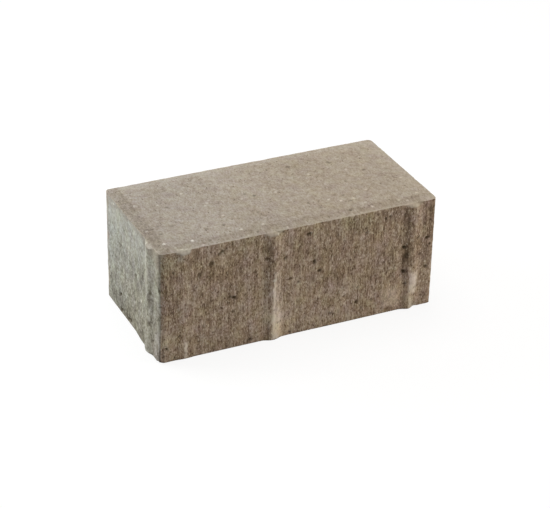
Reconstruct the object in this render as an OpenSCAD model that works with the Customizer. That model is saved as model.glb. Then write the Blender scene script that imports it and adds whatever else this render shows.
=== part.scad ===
// Rectangular concrete paving stone, pressed in a mould as one piece.
// It lies on its bed face: X runs along its length, Y across its width and Z up,
// and the origin is the middle of the bed face.

/* [Laying grid] */
// Length of one place in the paving grid, with its joint
grid_length = 200; // [120:1:300]
// Width of one place in the paving grid, with its joint
grid_width = 100; // [80:1:200]
// Width of the sand joint between two laid stones
joint = 4; // [2:0.5:6]

/* [Stone] */
// Height from the bed face to the wearing face
height = 80; // [40:1:140]
// Radius of the four upright corners
corner_radius = 3; // [1:0.5:6]

/* [Top edge] */
// How far the sloped top edge reaches in over the wearing face
chamfer_run = 7; // [2:0.5:12]
// How far the sloped top edge falls below the wearing face
chamfer_drop = 1; // [0.5:0.25:4]

/* [Spacer ribs] */
// Radius of a rib's rounded crest
rib_crest_radius = 9; // [3:0.5:12]
// Radius of the hollows where a rib runs out into its face
rib_root_radius = 10; // [4:1:16]
// Slope of a rib's top, from the arris down and outwards, in degrees
rib_top_slope = 45; // [20:5:60]
// From each end of a long face to the crest of its outer rib
outer_rib_inset = 17; // [17:0.5:25]
// From the middle of a long face to the crest of its inner rib
inner_rib_shift = 20; // [0:0.5:22]
// From the near corner of an end face to the crest of its rib
end_rib_inset = 17; // [17:0.5:30]

/* [Hidden] */
$fn = 64;

half_length = (grid_length - joint) / 2;
half_width = (grid_width - joint) / 2;
arris_height = height - chamfer_drop;
// Ribs of two neighbours meet crest to crest in the middle of the joint
rib_projection = joint / 2;
// Half the width of a rib: its crest and root arcs touch without a kink
rib_arcs = rib_crest_radius + rib_root_radius;
rib_half_width = sqrt(rib_projection * (2 * rib_arcs - rib_projection));
// Outward reach of the edge profile, past the crest of every rib
profile_reach = 2 * rib_projection;
// Depth to which a rib's outline is sunk into the body it grows out of
rib_embed = rib_crest_radius;
concrete_colour = [0.62, 0.58, 0.52];

// Outline of one rib in plan: its face is the line y = 0 and its crest points to +Y
module rib_outline() {
    crest_centre = rib_projection - rib_crest_radius;
    crest_share = rib_crest_radius / rib_arcs;
    touch_x = crest_share * rib_half_width;
    touch_y = crest_centre + crest_share * (rib_root_radius - crest_centre);
    translate([0, crest_centre])
        circle(r = rib_crest_radius);
    difference() {
        polygon([
            [-rib_half_width, -rib_embed], [rib_half_width, -rib_embed], [rib_half_width, 0],
            [touch_x, touch_y], [-touch_x, touch_y], [-rib_half_width, 0]
        ]);
        for (side = [-1, 1])
            translate([side * rib_half_width, rib_root_radius])
                circle(r = rib_root_radius);
    }
}

// Plan of the stone between its ribs: a rectangle with rounded corners
module body_outline() {
    corner_x = half_length - corner_radius;
    corner_y = half_width - corner_radius;
    square([2 * half_length, 2 * corner_y], center = true);
    square([2 * corner_x, 2 * half_width], center = true);
    for (x = [-corner_x, corner_x], y = [-corner_y, corner_y])
        translate([x, y])
            circle(r = corner_radius);
}

// Ribs of one long face and one end face; the opposite faces have the same after half a turn
module half_ribs() {
    outer_x = half_length - outer_rib_inset;
    for (x = [-outer_x, -inner_rib_shift, outer_x])
        translate([x, -half_width])
            rotate(180)
                rib_outline();
    translate([-half_length, end_rib_inset - half_width])
        rotate(90)
            rib_outline();
}

module plan_outline() {
    body_outline();
    for (turn = [0, 180])
        rotate(turn)
            half_ribs();
}

// Upright section across two opposite faces: bed, rib tops, sloped edges and wearing face
module edge_profile(half) {
    reach = half + profile_reach;
    reach_height = arris_height - profile_reach * tan(rib_top_slope);
    polygon([
        [-reach, 0], [reach, 0], [reach, reach_height], [half, arris_height], [half - chamfer_run, height],
        [chamfer_run - half, height], [-half, arris_height], [-reach, reach_height]
    ]);
}

// Bar with the edge profile across Y, running along X past both ends of the stone
module edge_bar(half, run_half) {
    run = 2 * (run_half + profile_reach);
    rotate([90, 0, 90])
        linear_extrude(run, center = true)
            edge_profile(half);
}

module paving_stone() {
    color(concrete_colour)
        intersection() {
            linear_extrude(height)
                plan_outline();
            edge_bar(half_width, half_length);
            rotate(90)
                edge_bar(half_length, half_width);
        }
}

paving_stone();
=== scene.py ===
"""A concrete paving stone: its cast relief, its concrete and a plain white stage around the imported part."""

import math

import bpy
import numpy as np
from mathutils import Matrix, Vector
from mathutils.geometry import delaunay_2d_cdt


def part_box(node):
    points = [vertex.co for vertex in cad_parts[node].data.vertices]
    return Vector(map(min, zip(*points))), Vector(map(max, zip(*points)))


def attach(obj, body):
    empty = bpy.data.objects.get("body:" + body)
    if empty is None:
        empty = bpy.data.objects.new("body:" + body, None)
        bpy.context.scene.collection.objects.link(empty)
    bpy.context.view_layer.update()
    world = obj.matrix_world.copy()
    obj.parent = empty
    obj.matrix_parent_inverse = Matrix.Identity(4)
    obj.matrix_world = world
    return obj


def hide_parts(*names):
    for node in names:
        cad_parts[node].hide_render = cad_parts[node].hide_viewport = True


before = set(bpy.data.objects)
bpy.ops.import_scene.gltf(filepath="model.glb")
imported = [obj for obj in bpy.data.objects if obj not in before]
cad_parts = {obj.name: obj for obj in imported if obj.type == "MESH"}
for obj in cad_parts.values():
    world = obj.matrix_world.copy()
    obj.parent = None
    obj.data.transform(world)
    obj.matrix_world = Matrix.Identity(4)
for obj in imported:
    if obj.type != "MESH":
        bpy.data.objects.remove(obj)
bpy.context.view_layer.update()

# Sizes of the stone, in millimetres
MM = 0.001
RIB_PROJECTION = 2.0
node_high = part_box("paving_stone")[1]
HALF_LENGTH = node_high.x / MM - RIB_PROJECTION
HALF_WIDTH = node_high.y / MM - RIB_PROJECTION
HEIGHT = node_high.z / MM
CORNER_RADIUS = 3.0
CHAMFER_RUN = 7.0
CHAMFER_DROP = 1.0
ARRIS = HEIGHT - CHAMFER_DROP
RIB_CREST_RADIUS = 9.0
RIB_ROOT_RADIUS = 10.0
OUTER_RIB_INSET = 17.0
END_RIB_INSET = 17.0
OUTER_RIB = HALF_LENGTH - OUTER_RIB_INSET
INNER_RIB = 20.0
END_RIB = HALF_WIDTH - END_RIB_INSET

# Spacing of the mesh; an extra grid line this far from each edge keeps the arris crisp
MESH_STEP = 0.86
EDGE_STEP = 0.3
BED_STEP = 4.0

# Ribs of the front and left faces as (place along the face, share of the relief left below the rib's top);
# the back and right faces have the same after half a turn
WORN_SHARE = 0.25
FRONT_RIBS = ((-OUTER_RIB, WORN_SHARE), (-INNER_RIB, 1.0), (OUTER_RIB, 1.0))
LEFT_RIBS = ((-END_RIB, 1.0),)
WORN_BELOW = ARRIS - 10.0
WHOLE_ABOVE = ARRIS - 3.0
# A worn rib's top is broken off on its right, between these distances from its crest
BREAK_START = 2.8
BREAK_END = 4.6


def half_turn(ribs):
    """The same ribs on the opposite face."""
    return tuple((-place, share) for place, share in ribs)


# Large odd numbers that scatter the bits of a cell's place and seed
CELL_STRIDES = np.array([374761393, 668265263, 1440662683])
SEED_STRIDE = 974711
BIT_MIXERS = ((13, 1274126177), (15, 2246822519))
LOW_BITS = 0xFFFFFFFF


def lattice_value(cells, seed):
    """A repeatable random number from -1 to 1 for each whole-number cell."""
    mixed = cells @ CELL_STRIDES + seed * SEED_STRIDE
    for shift, multiplier in BIT_MIXERS:
        mixed = (mixed ^ (mixed >> shift)) * multiplier & LOW_BITS
    return (mixed ^ (mixed >> 16)) / 2**31 - 1


def noise(points, cell, seed):
    """Smooth noise from -1 to 1, with features as wide as the cell, given for X, Y and Z or for all three."""
    scaled = points / np.asarray(cell, float)
    base = np.floor(scaled).astype(np.int64)
    part = scaled - base
    fade = part * part * (3 - 2 * part)
    total = np.zeros(len(points))
    for corner in np.ndindex(2, 2, 2):
        weight = np.prod(np.where(corner, fade, 1 - fade), axis=1)
        total += weight * lattice_value(base + np.array(corner), seed)
    return total


def smooth_step(low, high, value):
    """0 below low and 1 above high, with a soft change between."""
    share = np.clip((value - low) / (high - low), 0, 1)
    return share * share * (3 - 2 * share)


# Plain stone

def rib_relief(offset):
    """How far a whole rib stands out of its face at a distance from its crest line."""
    arcs = RIB_CREST_RADIUS + RIB_ROOT_RADIUS
    half = math.sqrt(RIB_PROJECTION * (2 * arcs - RIB_PROJECTION))
    touch = half * RIB_CREST_RADIUS / arcs
    away = np.abs(offset)
    crest = RIB_PROJECTION - RIB_CREST_RADIUS + np.sqrt(np.clip(RIB_CREST_RADIUS**2 - away**2, 0, None))
    root = RIB_ROOT_RADIUS - np.sqrt(np.clip(RIB_ROOT_RADIUS**2 - (half - away)**2, 0, None))
    return np.where(away < touch, crest, np.where(away < half, root, 0))


def steps(half):
    """Grid lines from -half to half, about one mesh step apart and closer at both ends."""
    lines = np.linspace(-half, half, round(2 * half / MESH_STEP) + 1)
    return np.sort(np.append(lines, [EDGE_STEP - half, half - EDGE_STEP]))


def round_corners(plan):
    """Bends the square corners of the grid to the upright corners' radius."""
    inner = np.array([HALF_LENGTH, HALF_WIDTH]) - CORNER_RADIUS
    local = (np.abs(plan) - inner) / CORNER_RADIUS
    square = np.clip(local, 0, None)
    length = np.linalg.norm(square, axis=1)
    bent = square * (square.max(axis=1) / np.where(length > 0, length, 1))[:, None]
    in_corner = (local > 0).all(axis=1)
    return np.where(in_corner[:, None], np.sign(plan) * (inner + bent * CORNER_RADIUS), plan)


def border_places(columns, rows):
    """Grid places round the plan's border, anticlockwise from the front left corner."""
    front = [(i, 0) for i in range(columns)]
    right = [(columns, j) for j in range(rows)]
    back = [(i, rows) for i in range(columns, 0, -1)]
    left = [(0, j) for j in range(rows, 0, -1)]
    return np.array(front + right + back + left)


def border_ribs(square):
    """Whole and worn rib relief and its outward direction at each point of the square border."""
    x, y = square.T
    whole = np.zeros(len(square))
    worn = np.zeros(len(square))
    outward = np.zeros_like(square)
    for axis, sign, ribs in ((1, -1, FRONT_RIBS), (1, 1, half_turn(FRONT_RIBS)),
                             (0, -1, LEFT_RIBS), (0, 1, half_turn(LEFT_RIBS))):
        reach = (HALF_LENGTH, HALF_WIDTH)[axis]
        on_face = np.isclose(square[:, axis], sign * reach)
        along = (y, x)[axis]
        for place, share in ribs:
            found = np.where(on_face, rib_relief(along - place), 0)
            to_right = (along - place) * (sign, -sign)[axis]
            left_over = 1 - smooth_step(BREAK_START, BREAK_END, to_right) * (share < 1)
            whole = np.maximum(whole, left_over * found)
            worn = np.maximum(worn, share * found)
        outward[on_face, axis] = sign
    return whole, worn, outward


def side_vertices(square, levels):
    """Rings of points round the stone, one at each level from the bed up to the arris."""
    ring = round_corners(square)
    whole, worn, outward = border_ribs(square)
    rings = []
    for z in levels:
        relief = worn + (whole - worn) * smooth_step(WORN_BELOW, WHOLE_ABOVE, z)
        stand_out = np.minimum(relief, ARRIS - z)
        plan = ring + outward * stand_out[:, None]
        rings.append(np.column_stack([plan, np.full(len(plan), z)]))
    return np.concatenate(rings)


def side_quads(count, bands):
    """Quads between neighbouring rings of count points each."""
    here = np.arange(count)
    after = (here + 1) % count
    band = np.stack([here, after, count + after, count + here], axis=1)
    return np.concatenate([band + k * count for k in range(bands)])


def wearing_face(xs, ys, border, uppermost, first):
    """Inner points and quads of the wearing face, which shares its border with the uppermost ring."""
    index = np.full((len(xs), len(ys)), -1)
    index[border[:, 0], border[:, 1]] = uppermost
    inner = index < 0
    index[inner] = first + np.arange(inner.sum())
    grid_x, grid_y = np.meshgrid(xs, ys, indexing="ij")
    plan = np.stack([grid_x[inner], grid_y[inner]], axis=1)
    edge = (np.array([HALF_LENGTH, HALF_WIDTH]) - np.abs(plan)).min(axis=1)
    z = HEIGHT - CHAMFER_DROP * np.clip(1 - edge / CHAMFER_RUN, 0, 1)
    quads = np.stack([index[:-1, :-1], index[1:, :-1], index[1:, 1:], index[:-1, 1:]], axis=-1)
    return np.column_stack([round_corners(plan), z]), quads.reshape(-1, 4)


# How the bed's triangle net is made: only inside its border, with points this near taken as one
NET_INSIDE = 1
NET_TOLERANCE = 1e-6


def bed_face(ring, first):
    """Inner points and faces of the bed, a triangle net between the lowest ring and a coarse grid."""
    bed_x = np.arange(-HALF_LENGTH + BED_STEP, HALF_LENGTH - BED_STEP / 2, BED_STEP)
    bed_y = np.arange(-HALF_WIDTH + BED_STEP, HALF_WIDTH - BED_STEP / 2, BED_STEP)
    inner = np.stack(np.meshgrid(bed_x, bed_y), axis=-1).reshape(-1, 2)
    count = len(ring)
    flat = [Vector(point) for point in np.concatenate([ring, inner])]
    edges = [(i, (i + 1) % count) for i in range(count)]
    net = delaunay_2d_cdt(flat, edges, [], NET_INSIDE, NET_TOLERANCE)
    net_faces, net_origins = net[2:4]
    index = [*range(count), *range(first, first + len(inner))]
    source = [index[origin[0]] for origin in net_origins]
    faces = [[source[i] for i in reversed(face)] for face in net_faces]
    return np.column_stack([inner, np.zeros(len(inner))]), faces


def stone_surface():
    """Vertices in millimetres and faces of the plain stone, closed all round."""
    xs = steps(HALF_LENGTH)
    ys = steps(HALF_WIDTH)
    levels = np.linspace(0, ARRIS, round(ARRIS / MESH_STEP) + 1)
    levels = np.sort(np.append(levels, ARRIS - EDGE_STEP))
    border = border_places(len(xs) - 1, len(ys) - 1)
    count = len(border)
    square = np.stack([xs[border[:, 0]], ys[border[:, 1]]], axis=1)
    sides = side_vertices(square, levels)
    uppermost = len(sides) - count + np.arange(count)
    top, top_quads = wearing_face(xs, ys, border, uppermost, len(sides))
    bed, bed_faces = bed_face(sides[:count, :2], len(sides) + len(top))
    quads = np.concatenate([side_quads(count, len(levels) - 1), top_quads])
    return np.concatenate([sides, top, bed]), quads.tolist() + bed_faces


def stone_mesh(vertices, faces):
    """A Blender mesh, in metres, of the surface."""
    mesh = bpy.data.meshes.new("paving_stone")
    mesh.from_pydata((vertices * MM).tolist(), [], faces)
    mesh.update()
    return mesh


def vertex_normals(mesh):
    """The mesh's normals, one row for each vertex."""
    normals = np.zeros(len(mesh.vertices) * 3, np.float32)
    mesh.vertices.foreach_get("normal", normals)
    return normals.reshape(-1, 3).astype(float)


# Marks left on the cast faces as (along, up, half width, half height, strength), in millimetres. Along runs
# from a face's left end and up from the bed, seen from outside, and opposite faces have the same marks.
FIRST_RIB = HALF_LENGTH - OUTER_RIB
SECOND_RIB = HALF_LENGTH - INNER_RIB
THIRD_RIB = HALF_LENGTH + OUTER_RIB
FACE_PORES = ((103.2, 72, 1.8, 1.5, 1.0), (35.2, 65.6, 1.9, 2.4, 0.75), (40.4, 71.2, 1.6, 1.2, 0.85),
              (42.4, 72.4, 1.7, 1.2, 0.85), (44.6, 74, 1.4, 1.0, 0.6), (48.2, 37.8, 1.5, 1.2, 0.85),
              (50.6, 37.2, 1.8, 1.4, 1.0), (107.3, 51, 1.5, 2.0, 1.0), (110.8, 43.8, 1.4, 1.4, 1.0),
              (138.4, 13.4, 1.3, 1.7, 0.95), (150, 13, 1.4, 1.4, 0.7), (50, 27, 1.5, 1.2, 0.8),
              (173.2, 47.4, 1.3, 1.2, 1.0), (174.6, 41, 1.3, 2.8, 0.7), (173.2, 29, 1.6, 1.4, 1.0),
              (170.6, 26.5, 1.0, 1.0, 0.8), (174.6, 20, 1.0, 1.1, 0.8), (158.4, 72, 1.3, 1.2, 0.95),
              (161.4, 72.6, 1.0, 1.1, 0.8), (182.4, 53.4, 1.5, 1.1, 0.85), (190.4, 51.2, 1.8, 1.2, 1.0),
              (192.2, 45.6, 1.0, 1.2, 0.9), (190, 29.3, 1.3, 1.5, 0.8), (62, 3.4, 1.8, 1.4, 0.85),
              (26.6, 58.5, 1.2, 2.4, 0.6), (96.2, 38, 1.1, 1.2, 0.95), (89.6, 42, 2.6, 1.1, 0.6),
              (85.8, 58.5, 1.5, 1.1, 0.75), (73.6, 60.5, 1.8, 1.4, 0.5), (120.4, 9, 1.8, 1.3, 0.6))
END_PORES = ((24.8, 13.2, 1.9, 1.7, 1.0), (26.8, 14.6, 1.5, 1.2, 0.8), (23.6, 15, 1.0, 0.9, 0.6),
             (26.5, 51, 2.6, 1.4, 0.5), (28.2, 52.2, 1.2, 0.9, 0.6), (54, 42.5, 1.8, 1.6, 0.7),
             (55.6, 43.8, 1.1, 0.9, 0.6), (66, 48, 1.5, 1.7, 0.7), (81.8, 45, 1.6, 2.2, 0.6),
             (26.4, 1.8, 2.2, 1.3, 0.9), (28.6, 2.8, 1.3, 1.0, 0.8), (39.2, 1.9, 2.4, 1.4, 0.9),
             (42.2, 2.8, 2.2, 1.6, 1.0), (44.4, 4.2, 1.4, 1.1, 0.7), (37.2, 3.2, 1.0, 0.8, 0.5),
             (82, 22, 1.6, 1.7, 0.7), (94, 52, 1.6, 1.8, 0.8), (20, 56, 2.0, 1.2, 0.4),
             (67, 50, 2.2, 1.2, 0.3), (45, 47, 2.6, 1.2, 0.5), (7, 17, 1.6, 1.2, 0.7))
# Besides the listed ones, a long face has this many small pores at random places
SMALL_PORES = 80
# Stains of the long faces, with painted shade added on the shaded left flanks of the second and third ribs
FACE_STAIN_AND_SHADE = ((THIRD_RIB - 3.8, 43, 2.6, 9, 1.2), (THIRD_RIB - 5, 27, 2.0, 4, 0.4),
               (THIRD_RIB - 4.4, 66, 2.2, 13, 0.8), (SECOND_RIB - 3.5, 58, 3.2, 18, 0.65),
               (5, 60, 5, 24, 0.4), (35, 61, 8, 7, 0.35), (100, 60, 30, 9, 0.25), (125, 35, 6, 8, 0.3),
               (167, 46, 8, 14, 0.3), (193, 64, 6, 18, 0.6), (186, 20, 5, 7, 0.4), (159, 72, 12, 8, 0.4),
               (155, 60, 6, 7, 0.3), (125, 61, 7, 7, 0.3))
# Stains of the ends, with painted shade on the end rib's shaded flank and by the rounded near corner
END_STAIN_AND_SHADE = ((81.2, 42, 1.9, 8, 0.85), (20, 4, 24, 10, 0.45), (60, 8, 20, 10, 0.3), (54, 42, 6, 5, 0.3),
              (44, 40, 5, 9, 0.4), (93.5, 72, 3.0, 10, 1.1), (58, 53, 9, 7, 0.6), (36, 14, 6, 6, 0.2),
              (67, 44, 9, 7, 0.4))
# Pale blotches of the long faces, with painted light that lifts the shade on the left flanks of the first and
# second ribs
FACE_BLOTCH_AND_LIGHT = ((118, 25, 5, 5, 0.5), (130, 23, 4, 5, 0.4), (168, 17, 14, 11, 0.5),
              (FIRST_RIB - 1, 36, 2.6, 40, 0.25), (89, 16, 9, 11, 0.8), (17, 20, 6, 8, 0.4),
              (12.5, 74.5, 3, 3, 1.0), (140, 12, 40, 14, 0.15), (75, 21, 13, 10, 0.9), (36, 20, 9, 8, 0.3),
              (74, 74, 14, 6, 0.5), (4, 18, 6, 12, 0.9), (143, 60, 5, 9, 0.4), (110, 7, 14, 7, 0.35),
              (66, 40, 20, 30, 0.15))
# Pale blotches of the ends, with painted light on the end rib's crest and its shaded flank
END_BLOTCH_AND_LIGHT = ((75, 66, 3.0, 18, 1.5), (83, 60, 3.5, 10, 0.8), (93, 20, 4.0, 12, 1.2), (20, 66, 10, 8, 0.3),
             (79, 13, 5, 12, 1.2), (52, 33, 5, 6, 0.5), (36, 30, 5, 9, 0.4), (84, 31, 4, 6, 0.6))
# Broken tops of the ribs, nibbled spots of the upper edges, and the third rib's broken foot
FACE_CHIPS = ((FIRST_RIB - 3, ARRIS, 2.0, 1.2, 0.3), (SECOND_RIB + 4, ARRIS, 2.4, 2.0, 0.7),
              (62, ARRIS, 1.6, 1.0, 0.3), (THIRD_RIB + 4, ARRIS, 2.4, 2.2, 0.7), (128, ARRIS, 1.6, 1.0, 0.3),
              (THIRD_RIB + 3.3, 0, 2.2, 3.4, 0.85))
END_CHIPS = ((HALF_WIDTH + END_RIB + 4, ARRIS, 2.6, 2.2, 0.5), (30, ARRIS, 2.2, 1.2, 0.3))
# Pale crumbs, most of them of the top mix on the broken rib tops and where it spills over an end
FACE_CRUMBS = ((12.2, 78.8, 0.9, 0.7, 0.4), (14.9, 78.8, 1.0, 0.8, 0.6), (16.2, 77.9, 0.9, 0.7, 0.4),
               (19.2, 78.2, 1.0, 0.9, 0.7), (81.4, 78, 0.8, 0.7, 1.0), (THIRD_RIB + 1.2, 2, 0.9, 1.1, 0.6),
               (180.6, 77.4, 1.6, 0.9, 0.6), (78.2, 45, 1.1, 1.0, 1.0))
END_CRUMBS = ((12, 75, 1.0, 0.7, 0.5), (16, 76.4, 1.6, 0.8, 0.7), (76, 78, 0.9, 0.8, 0.9),
              (82, 77.6, 1.0, 0.7, 0.9), (64.5, 29.4, 0.8, 0.8, 0.8), (69.5, 47, 0.7, 0.7, 0.5))
# Where a long face is tinged olive, and where it is warmer than the rest
FACE_OLIVE = ((4, 72, 8, 9, 1.0), (60, 75, 14, 6, 0.6), (134, 74, 15, 7, 1.0))
FACE_WARM = ((84, 8, 12, 8, 1.2), (168, 14, 13, 12, 1.4), (158, 60, 8, 8, 0.8), (40, 60, 14, 10, 0.7))
# Cement films by the ribs as (left, right, bottom, top, strength); those on the back are thinner
FACE_FILMS = ((SECOND_RIB - 1.8, SECOND_RIB + 8.6, -2, 30, 0.85),
              (SECOND_RIB - 0.6, SECOND_RIB + 8.4, 20, 50, 0.18),
              (SECOND_RIB - 0.6, SECOND_RIB + 1.8, -2, 56, 1.15),
              (THIRD_RIB - 1.8, THIRD_RIB + 6.0, 11, 30, 1.0),
              (THIRD_RIB - 1.6, THIRD_RIB + 2.4, -2, 11, 0.9),
              (FIRST_RIB - 1.3, FIRST_RIB + 1.7, -2, 15, 1.2), (157, 178, 4, 22, 0.3))
BACK_FILM = 0.6
# A film grows from nothing over this width at its left edge, and between these distances from its bottom
FILM_EDGE = 0.8
FILM_FOOT = (-1, 2)
# Pale sand grains and dark pits of the wearing face, along from its left end and out from its back edge
SAND_GRAINS = ((7.6, 84.9, 1.1, 1.3, 1.0), (25.4, 88, 1.2, 1.5, 1.0), (13, 94, 1.0, 0.8, 0.5),
               (15.6, 94.4, 1.2, 0.8, 0.95), (18.2, 95, 1.0, 0.7, 0.8), (30, 94.4, 1.1, 0.9, 0.9),
               (59.6, 86.2, 1.0, 1.2, 0.72), (75.4, 85, 1.0, 1.2, 0.65), (61.2, 94, 0.9, 0.8, 0.5),
               (88.4, 93.8, 0.9, 0.9, 0.6), (134.6, 94, 0.9, 0.8, 0.5), (150.6, 90.8, 1.0, 1.1, 0.85),
               (149.2, 84, 1.0, 1.0, 0.55), (176, 91.8, 0.9, 1.0, 0.65), (186, 85.2, 1.0, 1.2, 0.55),
               (144.4, 76, 1.0, 1.2, 0.65), (135.4, 75.8, 1.0, 1.2, 0.65), (128.6, 71.4, 1.0, 1.1, 0.58),
               (56.4, 64.6, 0.9, 1.3, 0.5), (53.6, 45, 0.9, 1.6, 0.4), (51.2, 47.8, 0.9, 1.2, 0.45),
               (187, 61.8, 0.9, 1.2, 0.45), (158.6, 36.8, 0.9, 1.3, 0.5), (132.2, 33.6, 0.9, 1.3, 0.45),
               (23, 35.6, 0.9, 1.3, 0.45), (43.4, 26.2, 0.9, 1.4, 0.5), (48.2, 18.8, 0.9, 1.3, 0.42))
# Besides the listed ones, the wearing face has this many small grains at random places
SMALL_GRAINS = 30
TOP_PITS = ((152.6, 22.6, 2.0, 2.2, 0.6), (169.4, 42, 1.6, 1.4, 0.7), (86, 47, 1.7, 1.8, 0.85),
            (52, 76, 1.4, 1.5, 0.85), (124, 18, 1.5, 2.0, 0.6), (114.6, 70, 1.5, 1.6, 0.55),
            (28, 40, 1.4, 1.6, 0.4), (81, 43, 1.4, 1.4, 0.5), (40, 77, 1.2, 1.6, 0.5),
            (119, 79, 1.5, 1.4, 0.5), (10.4, 72, 1.5, 1.5, 0.6), (135, 90, 1.3, 1.2, 0.8),
            (141, 78, 1.6, 1.2, 0.6), (151, 52, 1.4, 1.6, 0.5), (20.6, 65, 1.4, 1.6, 0.4),
            (12.4, 62, 1.2, 1.4, 0.4), (79, 69, 1.4, 1.6, 0.4), (121, 35, 1.2, 1.4, 0.4),
            (68, 92, 1.2, 1.0, 0.6), (104, 87, 1.6, 1.0, 0.5), (170, 91, 1.4, 1.0, 0.5),
            (36, 91, 1.2, 1.0, 0.5), (17, 81, 1.3, 1.2, 0.4), (140, 69, 1.2, 1.4, 0.4))
# Seeds of the small pores and grains that lie at random places
FACE_PORE_SEED = 3
END_PORE_SEED = 4
SAND_SEED = 5
# A crisp spot is whole up to the first share of its half width, and gone at the second
CRISP_EDGE = (0.45, 1.2)


def soft(distance):
    """A spot that fades from its middle."""
    return np.exp(-distance**2)


def crisp(distance):
    """A spot with an edge, such as a pit's."""
    return 1 - smooth_step(*CRISP_EDGE, distance)


def spots(along, up, places, profile=soft):
    """Oval spots, of full strength in the middle; the profile takes a distance in half widths."""
    total = np.zeros(len(along))
    for middle, level, half_width, half_height, strength in places:
        distance = np.hypot((along - middle) / half_width, (up - level) / half_height)
        total = np.maximum(total, strength * profile(distance))
    return total


def films(along, up, places):
    """Films with a sharp left edge, fading to the right and upwards."""
    total = np.zeros(len(along))
    for left, right, bottom, top, strength in places:
        fade_across = 0.5 * left + 0.5 * right
        fade_up = 0.3 * bottom + 0.7 * top
        across = smooth_step(left, left + FILM_EDGE, along) * (1 - smooth_step(fade_across, right, along))
        upright = smooth_step(*FILM_FOOT, up - bottom) * (1 - smooth_step(fade_up, top, up))
        total = np.maximum(total, strength * across * upright)
    return total


def scattered_pores(length, seed):
    """Small pores at random places on a side, fewer near its top."""
    dice = np.random.default_rng(seed)
    count = round(SMALL_PORES * length / (2 * HALF_LENGTH))
    heights = ARRIS * (1 - dice.random(count)**0.7)
    # Half widths are from 0.5 to 1.2 mm, most of them small, and strengths from 0.3 to 1
    sizes = 0.5 + 0.7 * dice.random((2, count))**2
    return tuple(zip(length * dice.random(count), heights, *sizes, 0.3 + 0.7 * dice.random(count)))


def scattered_sand(seed):
    """Small pale grains at random places on the wearing face."""
    dice = np.random.default_rng(seed)
    along = 2 * HALF_LENGTH * dice.random(SMALL_GRAINS)
    from_back = 2 * HALF_WIDTH * dice.random(SMALL_GRAINS)
    # Half widths are from 0.8 to 1.2 mm, and strengths from 0.25 to 0.45
    sizes = 0.8 + 0.4 * dice.random((2, SMALL_GRAINS))
    return tuple(zip(along, from_back, *sizes, 0.25 + 0.2 * dice.random(SMALL_GRAINS)))


# Limits of a normal's parts between which a side changes into a flat face, a long face into an end, and the
# sloped edge into the wearing face
SIDE_TO_FLAT = (0.3, 0.8)
FACE_TO_END = (0.6, 0.85)
SLOPE_TO_WEARING = (0.55, 0.95)
# A point whose normal rises or falls more than this belongs to the wearing face or the bed
FLAT = 0.9
# Limits of a rib's sloped top: how far outside the body a point is, and how far above the slope's plane
RIB_TOP_OUTSIDE = (0.05, 0.4)
RIB_TOP_LEVEL = (-0.7, -0.2)

# Layers of noise as (width of the features along X, Y and Z or along all three, seed, weight); the weight of
# a relief is its height in millimetres
SHAKE_ALONG = ((1.6, 71, 0.5), (3.4, 72, 0.5))
SHAKE_UP = ((1.6, 73, 0.5), (3.4, 74, 0.5))
FILM_NOISE = (((2.2, 2.2, 7), 61, 0.25),)
SKIN_NOISE = (((9, 9, 14), 62, 8),)
SPILL_NOISE = ((5.0, 63, 0.4),)
CORNER_NOISE = (((3.5, 3.5, 6), 64, 2.5),)
SIDE_RELIEF = (((1.7, 1.7, 26), 11, 0.10), ((3.1, 3.1, 60), 12, 0.06),
               ((2.4, 2.4, 3.2), 21, 0.19), ((1.7, 1.7, 1.9), 22, 0.133))
WIDE_RELIEF = ((30, 31, 0.12),)
WEARING_RELIEF = ((1.8, 41, 0.05), (4.5, 42, 0.025))
NIBBLES = ((3.0, 51, 0.8), (8.0, 52, 0.6))


class Surface:
    """Points of the plain stone, how far each belongs to a face, and its place along and up that face."""

    def __init__(self, points, normals):
        self.points = points
        self.x, self.y, self.z = points.T
        self.rise = normals[:, 2]
        part_x, part_y, part_z = np.abs(normals).T
        self.side = 1 - smooth_step(*SIDE_TO_FLAT, part_z)
        self.end = self.side * smooth_step(*FACE_TO_END, part_x)
        self.face = self.side - self.end
        self.turned_to_end = part_x > part_y
        outside = np.maximum(np.abs(self.x) - HALF_LENGTH, np.abs(self.y) - HALF_WIDTH)
        above_slope = outside + self.z - ARRIS
        self.rib_top = smooth_step(*RIB_TOP_OUTSIDE, outside) * smooth_step(*RIB_TOP_LEVEL, above_slope)
        self.top = np.maximum(smooth_step(*SLOPE_TO_WEARING, self.rise), self.rib_top)
        # Marks are drawn at shaken places, so that their outlines are ragged
        self.shake_along = self.layered(SHAKE_ALONG)
        self.shake_up = self.layered(SHAKE_UP)
        self.along_face = HALF_LENGTH + self.x * np.where(self.y < 0, 1, -1) + self.shake_along
        self.along_end = HALF_WIDTH - self.y * np.where(self.x < 0, 1, -1) + self.shake_along
        self.up = self.z + self.shake_up

    def layered(self, layers):
        """The sum of the layers of noise at each point."""
        return sum(weight * noise(self.points, cell, seed) for cell, seed, weight in layers)

    def face_spots(self, places, profile=soft):
        """Spots of a long face, wherever a point lies."""
        return spots(self.along_face, self.up, places, profile)

    def end_spots(self, places, profile=soft):
        """Spots of an end, wherever a point lies."""
        return spots(self.along_end, self.up, places, profile)

    def side_spots(self, face_places, end_places, profile=soft):
        """Spots of the long faces and of the ends, as far as a point belongs to each."""
        on_faces = self.face * self.face_spots(face_places, profile)
        return on_faces + self.end * self.end_spots(end_places, profile)

    def edge_spots(self, face_places, end_places, profile=soft):
        """Spots that reach over an edge, from the side that a point is turned to."""
        return np.where(self.turned_to_end, self.end_spots(end_places, profile),
                        self.face_spots(face_places, profile))


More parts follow.
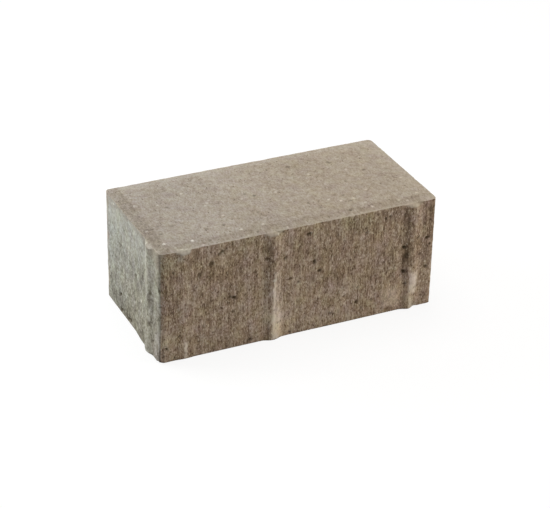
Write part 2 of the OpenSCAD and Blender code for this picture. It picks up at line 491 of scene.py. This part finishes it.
# An end's pale skin, partly real skin and partly painted light from above, grows between two levels, and is
# thinner beyond a place along the end. Along runs from the far corner to the near one, and every pair is the
# start and end of a change.
SKIN_LIGHT_UP = (12, 84)
SKIN_THINS = (68, 78)
SKIN_LOSS = 0.4
FILM_MIDDLE = 0.9
# How far down the top mix spills over an end, with its reach at the far and the near corner added
SPILL = 3.6
SPILL_EDGE = (-1.6, 1.6)
FAR_SPILL = 5.5
FAR_SPILL_WIDTH = 26
NEAR_SPILL = 8
NEAR_SPILL_ALONG = (78, 90)


def coatings(surface):
    """Cement films of the long faces, pale skin of the ends that is partly painted light from above, and the
    top mix spilled over the ends.
    """
    film = surface.face * films(surface.along_face, surface.up, FACE_FILMS)
    film = film * (FILM_MIDDLE + surface.layered(FILM_NOISE)) * np.where(surface.y < 0, 1, BACK_FILM)
    # Paler higher up: partly real smooth skin, partly painted light falling from above
    skin_and_light = surface.end * smooth_step(*SKIN_LIGHT_UP, surface.z + surface.layered(SKIN_NOISE))
    skin_and_light = skin_and_light * (1 - SKIN_LOSS * smooth_step(*SKIN_THINS, surface.along_end))
    far_reach = FAR_SPILL * (1 - surface.along_end / FAR_SPILL_WIDTH).clip(0)
    near_reach = NEAR_SPILL * smooth_step(*NEAR_SPILL_ALONG, surface.along_end)
    reach = (SPILL + far_reach + near_reach) * (1 + surface.layered(SPILL_NOISE))
    spill = surface.end * smooth_step(*SPILL_EDGE, surface.up - ARRIS + reach)
    return film, skin_and_light, spill


def single_marks(surface):
    """Pores of the sides, pits and grains of the wearing face, and chips of the edges."""
    pores = surface.side_spots(FACE_PORES + scattered_pores(2 * HALF_LENGTH, FACE_PORE_SEED),
                               END_PORES + scattered_pores(2 * HALF_WIDTH, END_PORE_SEED), crisp)
    from_left = HALF_LENGTH + surface.x
    from_back = HALF_WIDTH - surface.y
    pits = surface.top * spots(from_left + surface.shake_along, from_back + surface.shake_up, TOP_PITS, crisp)
    grains = surface.top * spots(from_left, from_back, SAND_GRAINS + scattered_sand(SAND_SEED), crisp)
    crumbs = surface.edge_spots(FACE_CRUMBS, END_CRUMBS, crisp)
    grains = np.maximum(grains, np.where(surface.rise < FLAT, crumbs, 0))
    chips = np.where(np.abs(surface.rise) < FLAT, surface.edge_spots(FACE_CHIPS, END_CHIPS), 0)
    return pores, pits, grains, chips


# Distances from the edges of the wearing face between which the dull bands on its left and front start and
# end, and its pale right and back edges fade
LEFT_BAND_START = (-2.5, 2)
LEFT_BAND_END = (CHAMFER_RUN, CHAMFER_RUN + 2.0)
FRONT_BAND_START = (-1, 9)
FRONT_BAND_END = (CHAMFER_RUN + 0.2, CHAMFER_RUN + 3.0)
FRONT_BAND_SHARE = 0.75
BAND_SHAKE = 0.5
PALE_EDGE = (2, 16)
RIGHT_PALE = 0.7
BACK_PALE = 0.4
SPILL_DULL = 1.3


def dull_share(surface, spill):
    """Where the top mix is dull, or pale where that is below 0."""
    from_left = HALF_LENGTH + surface.x + BAND_SHAKE * surface.shake_along
    from_front = HALF_WIDTH + surface.y + BAND_SHAKE * surface.shake_up
    left_band = smooth_step(*LEFT_BAND_START, from_left) * (1 - smooth_step(*LEFT_BAND_END, from_left))
    front_band = smooth_step(*FRONT_BAND_START, from_front) * (1 - smooth_step(*FRONT_BAND_END, from_front))
    pale = np.maximum(RIGHT_PALE * (1 - smooth_step(*PALE_EDGE, HALF_LENGTH - surface.x)),
                      BACK_PALE * (1 - smooth_step(*PALE_EDGE, HALF_WIDTH - surface.y)))
    on_top = surface.top * (np.maximum(left_band, FRONT_BAND_SHARE * front_band) - pale)
    return on_top + (1 - surface.top) * SPILL_DULL * spill


# Changes of hue along and up an end, and painted cool light from the left across the wearing face from its
# left edge
NEAR_CORNER = (76, 92)
NEAR_FOOT = (8, 30)
NEAR_FOOT_OLIVE = -0.7
COOL_ALONG = (8, 50)
COOL_UP = (54, 72)
NEAR_WARM_UP = (50, 66)
COOL_LIGHT_SPAN = (10, 150)
COOL_LIGHT_SWING = 1.4


def tints(surface, wearing):
    """Where the concrete turns olive, and where it is cool, or warm where that is below 0; on the wearing
    face the cool share is painted cool light from the left.
    """
    by_corner = surface.end * smooth_step(*NEAR_CORNER, surface.along_end)
    olive = surface.face * surface.face_spots(FACE_OLIVE)
    olive = olive + NEAR_FOOT_OLIVE * by_corner * (1 - smooth_step(*NEAR_FOOT, surface.z))
    cool = surface.end * (1 - smooth_step(*COOL_ALONG, surface.along_end))
    cool = cool * (1 - smooth_step(*COOL_UP, surface.z))
    cool = cool - by_corner * smooth_step(*NEAR_WARM_UP, surface.z)
    cool = cool - surface.face * surface.face_spots(FACE_WARM)
    # Painted cool light from the left end, fading across the wearing face and turning warm at its right
    cool = cool + wearing * (1 - COOL_LIGHT_SWING * smooth_step(*COOL_LIGHT_SPAN, HALF_LENGTH + surface.x))
    return olive, cool


# How much smoother the ends and the coated parts are, and how much rougher the dull parts of the top
END_SMOOTHNESS = 0.4
COAT_SMOOTHNESS = 0.5
DULL_ROUGHNESS = 1.2
# Swelling at the foot of each end, by the near corner
FOOT_SWELL = 1.4
FOOT_UP = (0, 42)
FOOT_ALONG = (46, 66)


def cast_relief(surface, wearing, dull, coat):
    """Heights of the cast concrete: streaked and coarse on the sides, fine on top, swollen at the foot."""
    smoothness = (1 - END_SMOOTHNESS * surface.end) * (1 - COAT_SMOOTHNESS * np.clip(coat, 0, 1))
    sides = surface.side * smoothness * surface.layered(SIDE_RELIEF)
    top = wearing * (1 + DULL_ROUGHNESS * dull) * surface.layered(WEARING_RELIEF)
    foot = surface.end * (1 - smooth_step(*FOOT_UP, surface.z)) * smooth_step(*FOOT_ALONG, surface.along_end)
    return sides + top + surface.layered(WIDE_RELIEF) + FOOT_SWELL * foot


# Depths and reaches of the wear, in millimetres
CHIP_DEPTH = 1.2
NIBBLE_DEPTH = 0.12
FRONT_NIBBLE_DEPTH = 0.1
NIBBLE_REACH = 1.1
FRONT_REACH = (6, 14)
CORNER_DEPTH = 0.2
UPPER_CORNER_DEPTH = 0.5
UPPER_CORNER = (40, 75)
CORNER_REACH = 3.0
# Chips are shallower where a point is neither this near the front nor on the near part of the left half
FRONT_ZONE = 2.0
LEFT_ZONE = 1.5 * HALF_WIDTH
FAR_CHIPS = 0.3


def near_arris(surface):
    """1 on the edge between the sides and the sloped top, falling to 0 round it."""
    inward = np.minimum(HALF_LENGTH - np.abs(surface.x), HALF_WIDTH - np.abs(surface.y)).clip(0)
    edge = np.sqrt(inward**2 + (surface.z - ARRIS)**2)
    return np.exp(-(edge / NIBBLE_REACH)**2)


def near_front(surface):
    """1 by the front edge of the wearing face, falling to 0 behind it."""
    return 1 - smooth_step(*FRONT_REACH, HALF_WIDTH + surface.y)


def wear(surface, chips):
    """Depth of the nibbled upper edges, the chips and the near corner's wear."""
    from_left = HALF_LENGTH + surface.x
    from_front = HALF_WIDTH + surface.y
    nibble_depth = NIBBLE_DEPTH + FRONT_NIBBLE_DEPTH * near_front(surface)
    nibbles = nibble_depth * np.clip(surface.layered(NIBBLES), 0, None)
    near = (surface.x < 0) & (from_front < LEFT_ZONE) | (from_front < FRONT_ZONE)
    chip_depth = CHIP_DEPTH * np.where(near, 1.0, FAR_CHIPS)
    corner = surface.side * np.exp(-(from_left**2 + from_front**2) / CORNER_REACH**2)
    corner_depth = CORNER_DEPTH + UPPER_CORNER_DEPTH * smooth_step(*UPPER_CORNER, surface.z)
    return near_arris(surface) * nibbles + chip_depth * chips + corner * corner_depth


# Heights and depths of single marks, in millimetres
FILM_HEIGHT = 0.15
GRAIN_HEIGHT = 0.25
PORE_DEPTH = 0.9
PIT_DEPTH = 0.3
# Shares of one mark in another's look: spilled mix as wearing face, pits as pores and skin as a coat
SPILL_WEARING = 0.55
PIT_SHADE = 0.8
SKIN_COAT = 0.7
# At its far corner an end takes on the colours of the long face beside it
FACE_COLOURED = (-2, 7)


def weather(points, normals):
    """The points moved by the relief of the concrete, and the masks that its colours follow."""
    surface = Surface(points, normals)
    film, skin_and_light, spill = coatings(surface)
    pores, pits, grains, chips = single_marks(surface)
    dull = dull_share(surface, spill)
    wearing = np.maximum(surface.top, SPILL_WEARING * spill)
    olive, cool = tints(surface, wearing)
    height = cast_relief(surface, wearing, dull, film + SKIN_COAT * skin_and_light) - wear(surface, chips)
    height = height + FILM_HEIGHT * film + GRAIN_HEIGHT * grains - PORE_DEPTH * pores - PIT_DEPTH * pits
    from_corner = surface.along_end + surface.layered(CORNER_NOISE)
    # Painted highlight along the front arris of the wearing face and on the ribs' sloped tops
    rim_highlight = np.maximum(near_arris(surface) * near_front(surface) * wearing, surface.rib_top)
    masks = {"wearing": wearing, "dull": dull, "arris": rim_highlight, "chip": chips, "grain": grains,
             # The pore mask sets where the painted shade of pores and pits goes
             "pore": np.maximum(pores, PIT_SHADE * pits), "film": film, "skin_and_light": skin_and_light,
             "end": surface.end * smooth_step(*FACE_COLOURED, from_corner),
             # The stain mask holds real stains and the painted shade by the ribs
             "stain_and_shade": surface.side_spots(FACE_STAIN_AND_SHADE, END_STAIN_AND_SHADE),
             # The blotch mask holds real pale blotches and the painted light by the ribs
             "blotch_and_light": surface.side_spots(FACE_BLOTCH_AND_LIGHT, END_BLOTCH_AND_LIGHT), "olive": olive, "cool": cool}
    return points + normals * height[:, None], masks


def add_mask(mesh, name, values):
    """Keeps a mask on the mesh, for the material to read."""
    attribute = mesh.attributes.new(name, "FLOAT", "POINT")
    attribute.data.foreach_set("value", values.astype(np.float32))


def build_stone():
    """The whole stone: the plain form, weathered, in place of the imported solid."""
    vertices, faces = stone_surface()
    mesh = stone_mesh(vertices, faces)
    moved, masks = weather(vertices, vertex_normals(mesh))
    moved[:, 2] = np.clip(moved[:, 2], 0, None)
    mesh.vertices.foreach_set("co", (moved * MM).astype(np.float32).ravel())
    mesh.update()
    for name, values in masks.items():
        add_mask(mesh, name, values)
    mesh.shade_smooth()
    stone = bpy.data.objects.new("stone", mesh)
    bpy.context.scene.collection.objects.link(stone)
    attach(stone, "root")
    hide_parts("paving_stone")
    return stone


# Noise fields of the concrete: the size of their features along X, Y and Z in millimetres, how much finer
# detail they have and how strong it is, and a shift that keeps them apart. A field with peaks is 0 below
# the first value, 1 above the second, and shows only the peaks of its noise.
NOISE_FIELDS = {
    "streaks": dict(cell=(1.2, 1.2, 14), detail=2.0, roughness=0.5, shift=0),
    "mottle": dict(cell=(3.0, 3.0, 3.8), detail=2.0, roughness=0.6, shift=50),
    "grit": dict(cell=(0.82, 0.82, 1.75), detail=2.0, roughness=0.7, shift=90),
    "end_grit": dict(cell=(0.82, 1.5, 1.75), detail=2.0, roughness=0.7, shift=90),
    "blotches": dict(cell=(16, 16, 22), detail=2.0, roughness=0.6, shift=130),
    "patches": dict(cell=(7, 7, 9), detail=2.0, roughness=0.6, shift=170),
    "hue": dict(cell=(9, 9, 12), detail=3.0, roughness=0.6, shift=450),
    "crumbs": dict(cell=(1.3, 1.3, 1.6), detail=1.0, roughness=0.5, shift=490, peaks=(0.16, 0.26)),
    "cavities": dict(cell=(1.6, 1.6, 2.0), detail=2.0, roughness=0.6, shift=330, peaks=(0.14, 0.24)),
    "wearing_fine": dict(cell=(0.95, 1.9, 0.95), detail=1.5, roughness=0.65, shift=210),
    "wearing_soft": dict(cell=(2.8, 3.6, 2.8), detail=1.0, roughness=0.5, shift=250),
    "wearing_wide": dict(cell=(34, 34, 34), detail=2.0, roughness=0.5, shift=290),
    "specks": dict(cell=(1.4, 2.0, 1.4), detail=1.0, roughness=0.5, shift=370, peaks=(0.17, 0.25)),
    "flecks": dict(cell=(1.2, 1.2, 1.2), detail=2.0, roughness=0.5, shift=410, peaks=(0.2, 0.3)),
}
# Noise is weak in the planes of its lattice, so the lattice is turned away from the stone's faces
LATTICE_TURN = (0.5, 0.4, 0.6)

# What each tone, relief and tint is made of, as (field or mask, weight); a tone of 0.5 is the middle one
MIDDLE_TONE = 0.5
FACE_TONE = (("streaks", 0.75), ("mottle", 0.78), ("grit", 0.2), ("grit_peaks", 95.0), ("blotches", 0.4),
             ("crumbs", 0.22), ("stain_and_shade", -0.3), ("blotch_and_light", 0.25))
END_TONE = (("streaks", 0.32), ("mottle", 0.75), ("end_grit", 1.25), ("blotches", 0.5), ("patches", 0.4),
            ("crumbs", 0.15), ("stain_and_shade", -0.25), ("blotch_and_light", 0.2))
FILM_TONE = (("streaks", 0.4), ("mottle", 0.6), ("grit", 0.8), ("patches", 0.4))
WEARING_TONE = (("wearing_fine", 0.7), ("wearing_soft", 0.38), ("patches", 0.2), ("wearing_wide", 0.2),
                ("dull", -0.15), ("specks", -0.43), ("flecks", 0.45))
SIDE_BUMPS = (("streaks", 0.35), ("mottle", 0.6), ("grit", 0.8), ("cavities", -0.6))
WEARING_BUMPS = (("wearing_fine", 0.25), ("wearing_soft", 0.3))
ROUGHNESS = (("film", -0.15), ("grit", 0.2))
UNEVEN_HUE = (("wearing", -0.5), ("end", -0.35))
RED_TINT = (("olive", -0.05), ("cool", -0.03))
GREEN_TINT = (("greener", 0.16), ("olive", 0.02))
BLUE_TINT = (("bluer", 0.5), ("olive", -0.08), ("cool", 0.05))

# Concrete colours, from the darkest to the palest part of the mottling
SIDE_COLOURS = ((0.0, (0.10, 0.066, 0.042)), (0.3, (0.25, 0.18, 0.123)), (0.5, (0.41, 0.308, 0.226)),
                (0.7, (0.57, 0.465, 0.362)), (1.0, (0.76, 0.67, 0.55)))
END_COLOURS = ((0.0, (0.08, 0.066, 0.046)), (0.3, (0.18, 0.158, 0.118)), (0.5, (0.29, 0.262, 0.206)),
               (0.7, (0.41, 0.38, 0.312)), (1.0, (0.60, 0.56, 0.47)))
# Paler skin of the ends, partly painted light falling from above
SKIN_AND_LIGHT_COLOURS = ((0.0, (0.195, 0.184, 0.151)), (0.3, (0.297, 0.282, 0.238)), (0.5, (0.381, 0.361, 0.313)),
                (0.7, (0.471, 0.453, 0.398)), (1.0, (0.614, 0.588, 0.528)))
FILM_COLOURS = ((0.0, (0.42, 0.34, 0.26)), (0.5, (0.92, 0.82, 0.69)), (1.0, (0.98, 0.92, 0.83)))
WEARING_COLOURS = ((0.0, (0.16, 0.12, 0.088)), (0.3, (0.29, 0.236, 0.182)), (0.5, (0.405, 0.345, 0.28)),
                   (0.7, (0.50, 0.44, 0.37)), (1.0, (0.72, 0.66, 0.58)))
# Painted shade inside the pores, pits and small cavities
PORE_SHADE = (0.056, 0.038, 0.015)
GRAIN_PALE = (0.80, 0.74, 0.64)
# Pale broken concrete of the chips, and the painted highlight of the front arris and the ribs' sloped tops
RIM_PALE_AND_HIGHLIGHT = (0.58, 0.51, 0.42)
CAVITY_SHADE = 0.5
RIM_HIGHLIGHT_SHARE = 0.75
# The painted edge highlight shows where the mottling is above the first value, and fully above the second
RIM_HIGHLIGHT_MOTTLE = (-0.3, 0.2)
PLAIN_ROUGHNESS = 0.9
SPECULAR_LEVEL = 0.25
BUMP_STRENGTH = 0.8
BUMP_HEIGHT = 0.5 * MM


class Shading:
    """Adds nodes to a material's tree; each method gives the new node's output."""

    def __init__(self, material):
        self.tree = material.node_tree
        self.fields = {}
        place = self.add("ShaderNodeTexCoord", {}, "Object")
        self.millimetres = self.add("ShaderNodeVectorMath", {0: place, "Scale": 1 / MM}, operation="SCALE")

    def add(self, kind, inputs, output=0, **settings):
        """A node with the settings; an input is another node's output or a plain value."""
        node = self.tree.nodes.new(kind)
        for name, value in settings.items():
            setattr(node, name, value)
        for name, value in inputs.items():
            if isinstance(value, bpy.types.NodeSocket):
                self.tree.links.new(value, node.inputs[name])
            else:
                node.inputs[name].default_value = value
        return node.outputs[output]

    def math(self, operation, first, second):
        """A sum, product or other operation on two values."""
        return self.add("ShaderNodeMath", {0: first, 1: second}, operation=operation)

    def between(self, value, low, high):
        """0 below low and 1 above high, with a soft change between."""
        return self.add("ShaderNodeMapRange", {"Value": value, "From Min": low, "From Max": high},
                        interpolation_type="SMOOTHSTEP")

    def noise(self, cell, detail, roughness, shift, peaks=None):
        """Noise round 0, or only its peaks, with features as wide as the cell."""
        scale = [1 / size for size in cell]
        place = self.add("ShaderNodeMapping", {"Vector": self.millimetres, "Location": (shift, shift, shift),
                                               "Rotation": LATTICE_TURN, "Scale": scale})
        made = self.add("ShaderNodeTexNoise", {"Vector": place, "Scale": 1.0, "Detail": detail,
                                               "Roughness": roughness})
        middled = self.math("SUBTRACT", made, 0.5)
        return self.between(middled, *peaks) if peaks else middled

    def field(self, name):
        """A noise field or else a mask of the mesh, made when it is first asked for."""
        if name not in self.fields:
            if name in NOISE_FIELDS:
                self.fields[name] = self.noise(**NOISE_FIELDS[name])
            else:
                self.fields[name] = self.add("ShaderNodeAttribute", {}, "Fac", attribute_name=name)
        return self.fields[name]

    def weighted(self, middle, parts):
        """A middle value plus a sum of (field, weight) parts."""
        total = middle
        for name, weight in parts:
            total = self.add("ShaderNodeMath", {0: self.field(name), 1: weight, 2: total},
                             operation="MULTIPLY_ADD")
        return total

    def ramp(self, value, stops):
        """A colour looked up between the stops."""
        node = self.tree.nodes.new("ShaderNodeValToRGB")
        for place, colour in stops[1:-1]:
            node.color_ramp.elements.new(place)
        for element, (place, colour) in zip(node.color_ramp.elements, stops):
            element.position = place
            element.color = (*colour, 1)
        self.tree.links.new(value, node.inputs[0])
        return node.outputs[0]

    def toned(self, parts, stops):
        """The colour of a tone that is made of the parts."""
        return self.ramp(self.weighted(MIDDLE_TONE, parts), stops)

    def mix(self, share, first, second):
        """The first colour where the share is 0 and the second where it is 1."""
        second = second if isinstance(second, bpy.types.NodeSocket) else (*second, 1)
        return self.add("ShaderNodeMix", {0: share, 6: first, 7: second}, 2, data_type="RGBA")


def side_colour(shading):
    """Streaked, porous long faces and paler ends, with the cement films of both, painted shade in their
    pores, and end skin that is partly painted light from above.
    """
    face = shading.toned(FACE_TONE, SIDE_COLOURS)
    end_tone = shading.weighted(MIDDLE_TONE, END_TONE)
    end = shading.mix(shading.field("skin_and_light"), shading.ramp(end_tone, END_COLOURS),
                      shading.ramp(end_tone, SKIN_AND_LIGHT_COLOURS))
    side = shading.mix(shading.field("end"), face, end)
    side = shading.mix(shading.field("film"), side, shading.toned(FILM_TONE, FILM_COLOURS))
    # Pores and cavities are painted with shade
    cavities = shading.math("MULTIPLY", shading.field("cavities"), CAVITY_SHADE)
    return shading.mix(shading.math("MAXIMUM", shading.field("pore"), cavities), side, PORE_SHADE)


def wearing_colour(shading):
    """The fine, even wearing face, with painted shade in its pits."""
    return shading.mix(shading.field("pore"), shading.toned(WEARING_TONE, WEARING_COLOURS), PORE_SHADE)


def concrete_colour(shading):
    """The sides and the wearing face together, with pale grains, pale chips and a painted highlight on the
    front arris and the ribs' sloped tops.
    """
    chip = shading.field("chip")
    fine_mix = shading.math("MAXIMUM", shading.field("wearing"), chip)
    colour = shading.mix(fine_mix, side_colour(shading), wearing_colour(shading))
    colour = shading.mix(shading.field("grain"), colour, GRAIN_PALE)
    # Chips are pale broken concrete; the arris mask adds a painted highlight
    rim_highlight = shading.math("MULTIPLY", shading.math("MAXIMUM", shading.field("arris"), chip),
                          shading.between(shading.field("mottle"), *RIM_HIGHLIGHT_MOTTLE))
    return shading.mix(shading.math("MULTIPLY", rim_highlight, RIM_HIGHLIGHT_SHARE), colour, RIM_PALE_AND_HIGHLIGHT)


def tinted(shading, colour):
    """The colour with its hue varied from patch to patch, olive, cool or warm by the masks, the cool one also
    painting cool light from the left onto the wearing face.
    """
    uneven = shading.weighted(1.0, UNEVEN_HUE)
    shading.fields["greener"] = shading.math("MULTIPLY", shading.field("patches"), uneven)
    shading.fields["bluer"] = shading.math("MULTIPLY", shading.field("hue"), uneven)
    tint = shading.add("ShaderNodeCombineColor", {
        "Red": shading.weighted(1.0, RED_TINT),
        "Green": shading.weighted(1.0, GREEN_TINT),
        "Blue": shading.weighted(1.0, BLUE_TINT)})
    return shading.add("ShaderNodeMix", {0: 1.0, 6: colour, 7: tint}, 2,
                       data_type="RGBA", blend_type="MULTIPLY")


def concrete_material():
    """Pressed concrete: streaked, porous sides, paler ends and a fine, even wearing face."""
    material = bpy.data.materials.new("pressed_concrete")
    material.use_nodes = True
    shading = Shading(material)
    # The cube of the grit is flat near 0, so only single grains and pinholes stand out of it
    shading.fields["grit_peaks"] = shading.math("POWER", shading.field("grit"), 3)
    colour = tinted(shading, concrete_colour(shading))
    height = shading.add("ShaderNodeMix", {0: shading.field("wearing"), 2: shading.weighted(0.0, SIDE_BUMPS),
                                           3: shading.weighted(0.0, WEARING_BUMPS)})
    bump = shading.add("ShaderNodeBump", {"Height": height, "Strength": BUMP_STRENGTH,
                                          "Distance": BUMP_HEIGHT})
    shader = material.node_tree.nodes["Principled BSDF"]
    material.node_tree.links.new(colour, shader.inputs["Base Color"])
    material.node_tree.links.new(bump, shader.inputs["Normal"])
    material.node_tree.links.new(shading.weighted(PLAIN_ROUGHNESS, ROUGHNESS), shader.inputs["Roughness"])
    shader.inputs["Specular IOR Level"].default_value = SPECULAR_LEVEL
    return material


# Stage: a white floor and world as the camera sees them, which light the stone less than white would
FLOOR_SIDE = 12.0
FLOOR_GAP = 0.1 * MM
FLOOR_BOUNCE = (0.45, 0.45, 0.45, 1)
FLOOR_SHADE = (0.16, 0.16, 0.16, 1)
FLOOR_WHITE = 0.875
AMBIENT = (0.22, 0.22, 0.22, 1)
WHITE = (1, 1, 1, 1)
STONE_MIDDLE = Vector((0, 0, HEIGHT / 2)) * MM


def camera_ray(tree):
    """1 where the camera looks, straight or by way of glass or a mirror."""
    path = tree.nodes.new("ShaderNodeLightPath")
    total = path.outputs["Is Camera Ray"]
    for output in ("Is Glossy Ray", "Is Transmission Ray"):
        either = tree.nodes.new("ShaderNodeMath")
        either.operation = "MAXIMUM"
        tree.links.new(total, either.inputs[0])
        tree.links.new(path.outputs[output], either.inputs[1])
        total = either.outputs[0]
    return total


def seen_or_lighting(tree, lighting, seen, output_kind):
    """Ends the tree in one shader for what the camera sees and another for what lights the stone."""
    chosen = tree.nodes.new("ShaderNodeMixShader")
    tree.links.new(camera_ray(tree), chosen.inputs[0])
    tree.links.new(lighting.outputs[0], chosen.inputs[1])
    tree.links.new(seen.outputs[0], chosen.inputs[2])
    output = tree.nodes.new(output_kind)
    tree.links.new(chosen.outputs[0], output.inputs["Surface"])


def coloured(tree, kind, colour):
    """A shader node of one colour."""
    node = tree.nodes.new(kind)
    node.inputs["Color"].default_value = colour
    return node


def make_floor():
    """A white floor that keeps a faint shadow."""
    bpy.ops.mesh.primitive_plane_add(size=FLOOR_SIDE, location=(0, 0, -FLOOR_GAP))
    floor = bpy.context.object
    floor.name = "floor"
    material = bpy.data.materials.new("white_floor")
    material.use_nodes = True
    tree = material.node_tree
    tree.nodes.clear()
    bounce = coloured(tree, "ShaderNodeBsdfDiffuse", FLOOR_BOUNCE)
    shade = coloured(tree, "ShaderNodeBsdfDiffuse", FLOOR_SHADE)
    glow = tree.nodes.new("ShaderNodeEmission")
    glow.inputs["Strength"].default_value = FLOOR_WHITE
    seen = tree.nodes.new("ShaderNodeAddShader")
    tree.links.new(shade.outputs[0], seen.inputs[0])
    tree.links.new(glow.outputs[0], seen.inputs[1])
    seen_or_lighting(tree, bounce, seen, "ShaderNodeOutputMaterial")
    floor.data.materials.append(material)


def make_world():
    """A white background that lights the stone softly."""
    world = bpy.data.worlds.new("studio")
    world.use_nodes = True
    tree = world.node_tree
    tree.nodes.clear()
    ambient = coloured(tree, "ShaderNodeBackground", AMBIENT)
    white = coloured(tree, "ShaderNodeBackground", WHITE)
    seen_or_lighting(tree, ambient, white, "ShaderNodeOutputWorld")
    bpy.context.scene.world = world


def softbox(name, toward, distance, side, level, colour):
    """A square lamp that lights a face square to it, at the stone, to the given level."""
    lamp = bpy.data.lights.new(name, "AREA")
    lamp.shape = "SQUARE"
    lamp.size = side
    lamp.energy = level * math.pi**2 * distance**2
    lamp.color = colour
    stand = bpy.data.objects.new(name, lamp)
    direction = Vector(toward).normalized()
    stand.location = STONE_MIDDLE + direction * distance
    stand.rotation_euler = direction.to_track_quat("Z", "Y").to_euler()
    bpy.context.scene.collection.objects.link(stand)


def make_lights():
    """A lamp overhead, a cool one behind the left end and a warm one on the right of the front."""
    softbox("overhead", toward=(0.0, 0.25, 1.0), distance=1.4, side=1.0, level=0.52, colour=(1.0, 0.99, 0.96))
    softbox("left_key", toward=(-1.0, 0.8, 0.35), distance=0.8, side=0.5, level=0.86, colour=(0.94, 1.0, 1.0))
    softbox("right_fill", toward=(0.85, -0.6, 0.35), distance=1.2, side=0.6, level=0.40,
            colour=(1.0, 0.90, 0.77))


# The photograph's view: angles in degrees, places in metres and a focal length in the photograph's pixels
CAMERA_AZIMUTH = -25.541
CAMERA_ELEVATION = 29.355
CAMERA_ROLL = 1.227
CAMERA_DISTANCE = 1.26068
CAMERA_AIM = Vector((0.00215, -0.0036, 0.0353))
FOCAL_PIXELS = 1892.25
IMAGE_WIDTH = 550.0
SENSOR_WIDTH = 36.0


def make_camera():
    """A camera at the photograph's viewing angle."""
    turn = math.radians(CAMERA_AZIMUTH)
    lift = math.radians(CAMERA_ELEVATION)
    roll = math.radians(CAMERA_ROLL)
    back = Vector((math.sin(turn) * math.cos(lift), -math.cos(turn) * math.cos(lift), math.sin(lift)))
    right = Vector((math.cos(turn), math.sin(turn), 0))
    up = back.cross(right)
    rolled_right = right * math.cos(roll) + up * math.sin(roll)
    rolled_up = up * math.cos(roll) - right * math.sin(roll)
    camera = bpy.data.objects.new("camera", bpy.data.cameras.new("camera"))
    camera.data.sensor_width = SENSOR_WIDTH
    camera.data.lens = FOCAL_PIXELS / IMAGE_WIDTH * SENSOR_WIDTH
    axes = Matrix((rolled_right, rolled_up, back)).transposed().to_4x4()
    camera.matrix_world = Matrix.Translation(CAMERA_AIM + back * CAMERA_DISTANCE) @ axes
    bpy.context.scene.collection.objects.link(camera)
    bpy.context.scene.camera = camera


stone = build_stone()
stone.data.materials.append(concrete_material())
make_floor()
make_world()
make_lights()
make_camera()
bpy.context.scene.view_settings.view_transform = "Standard"
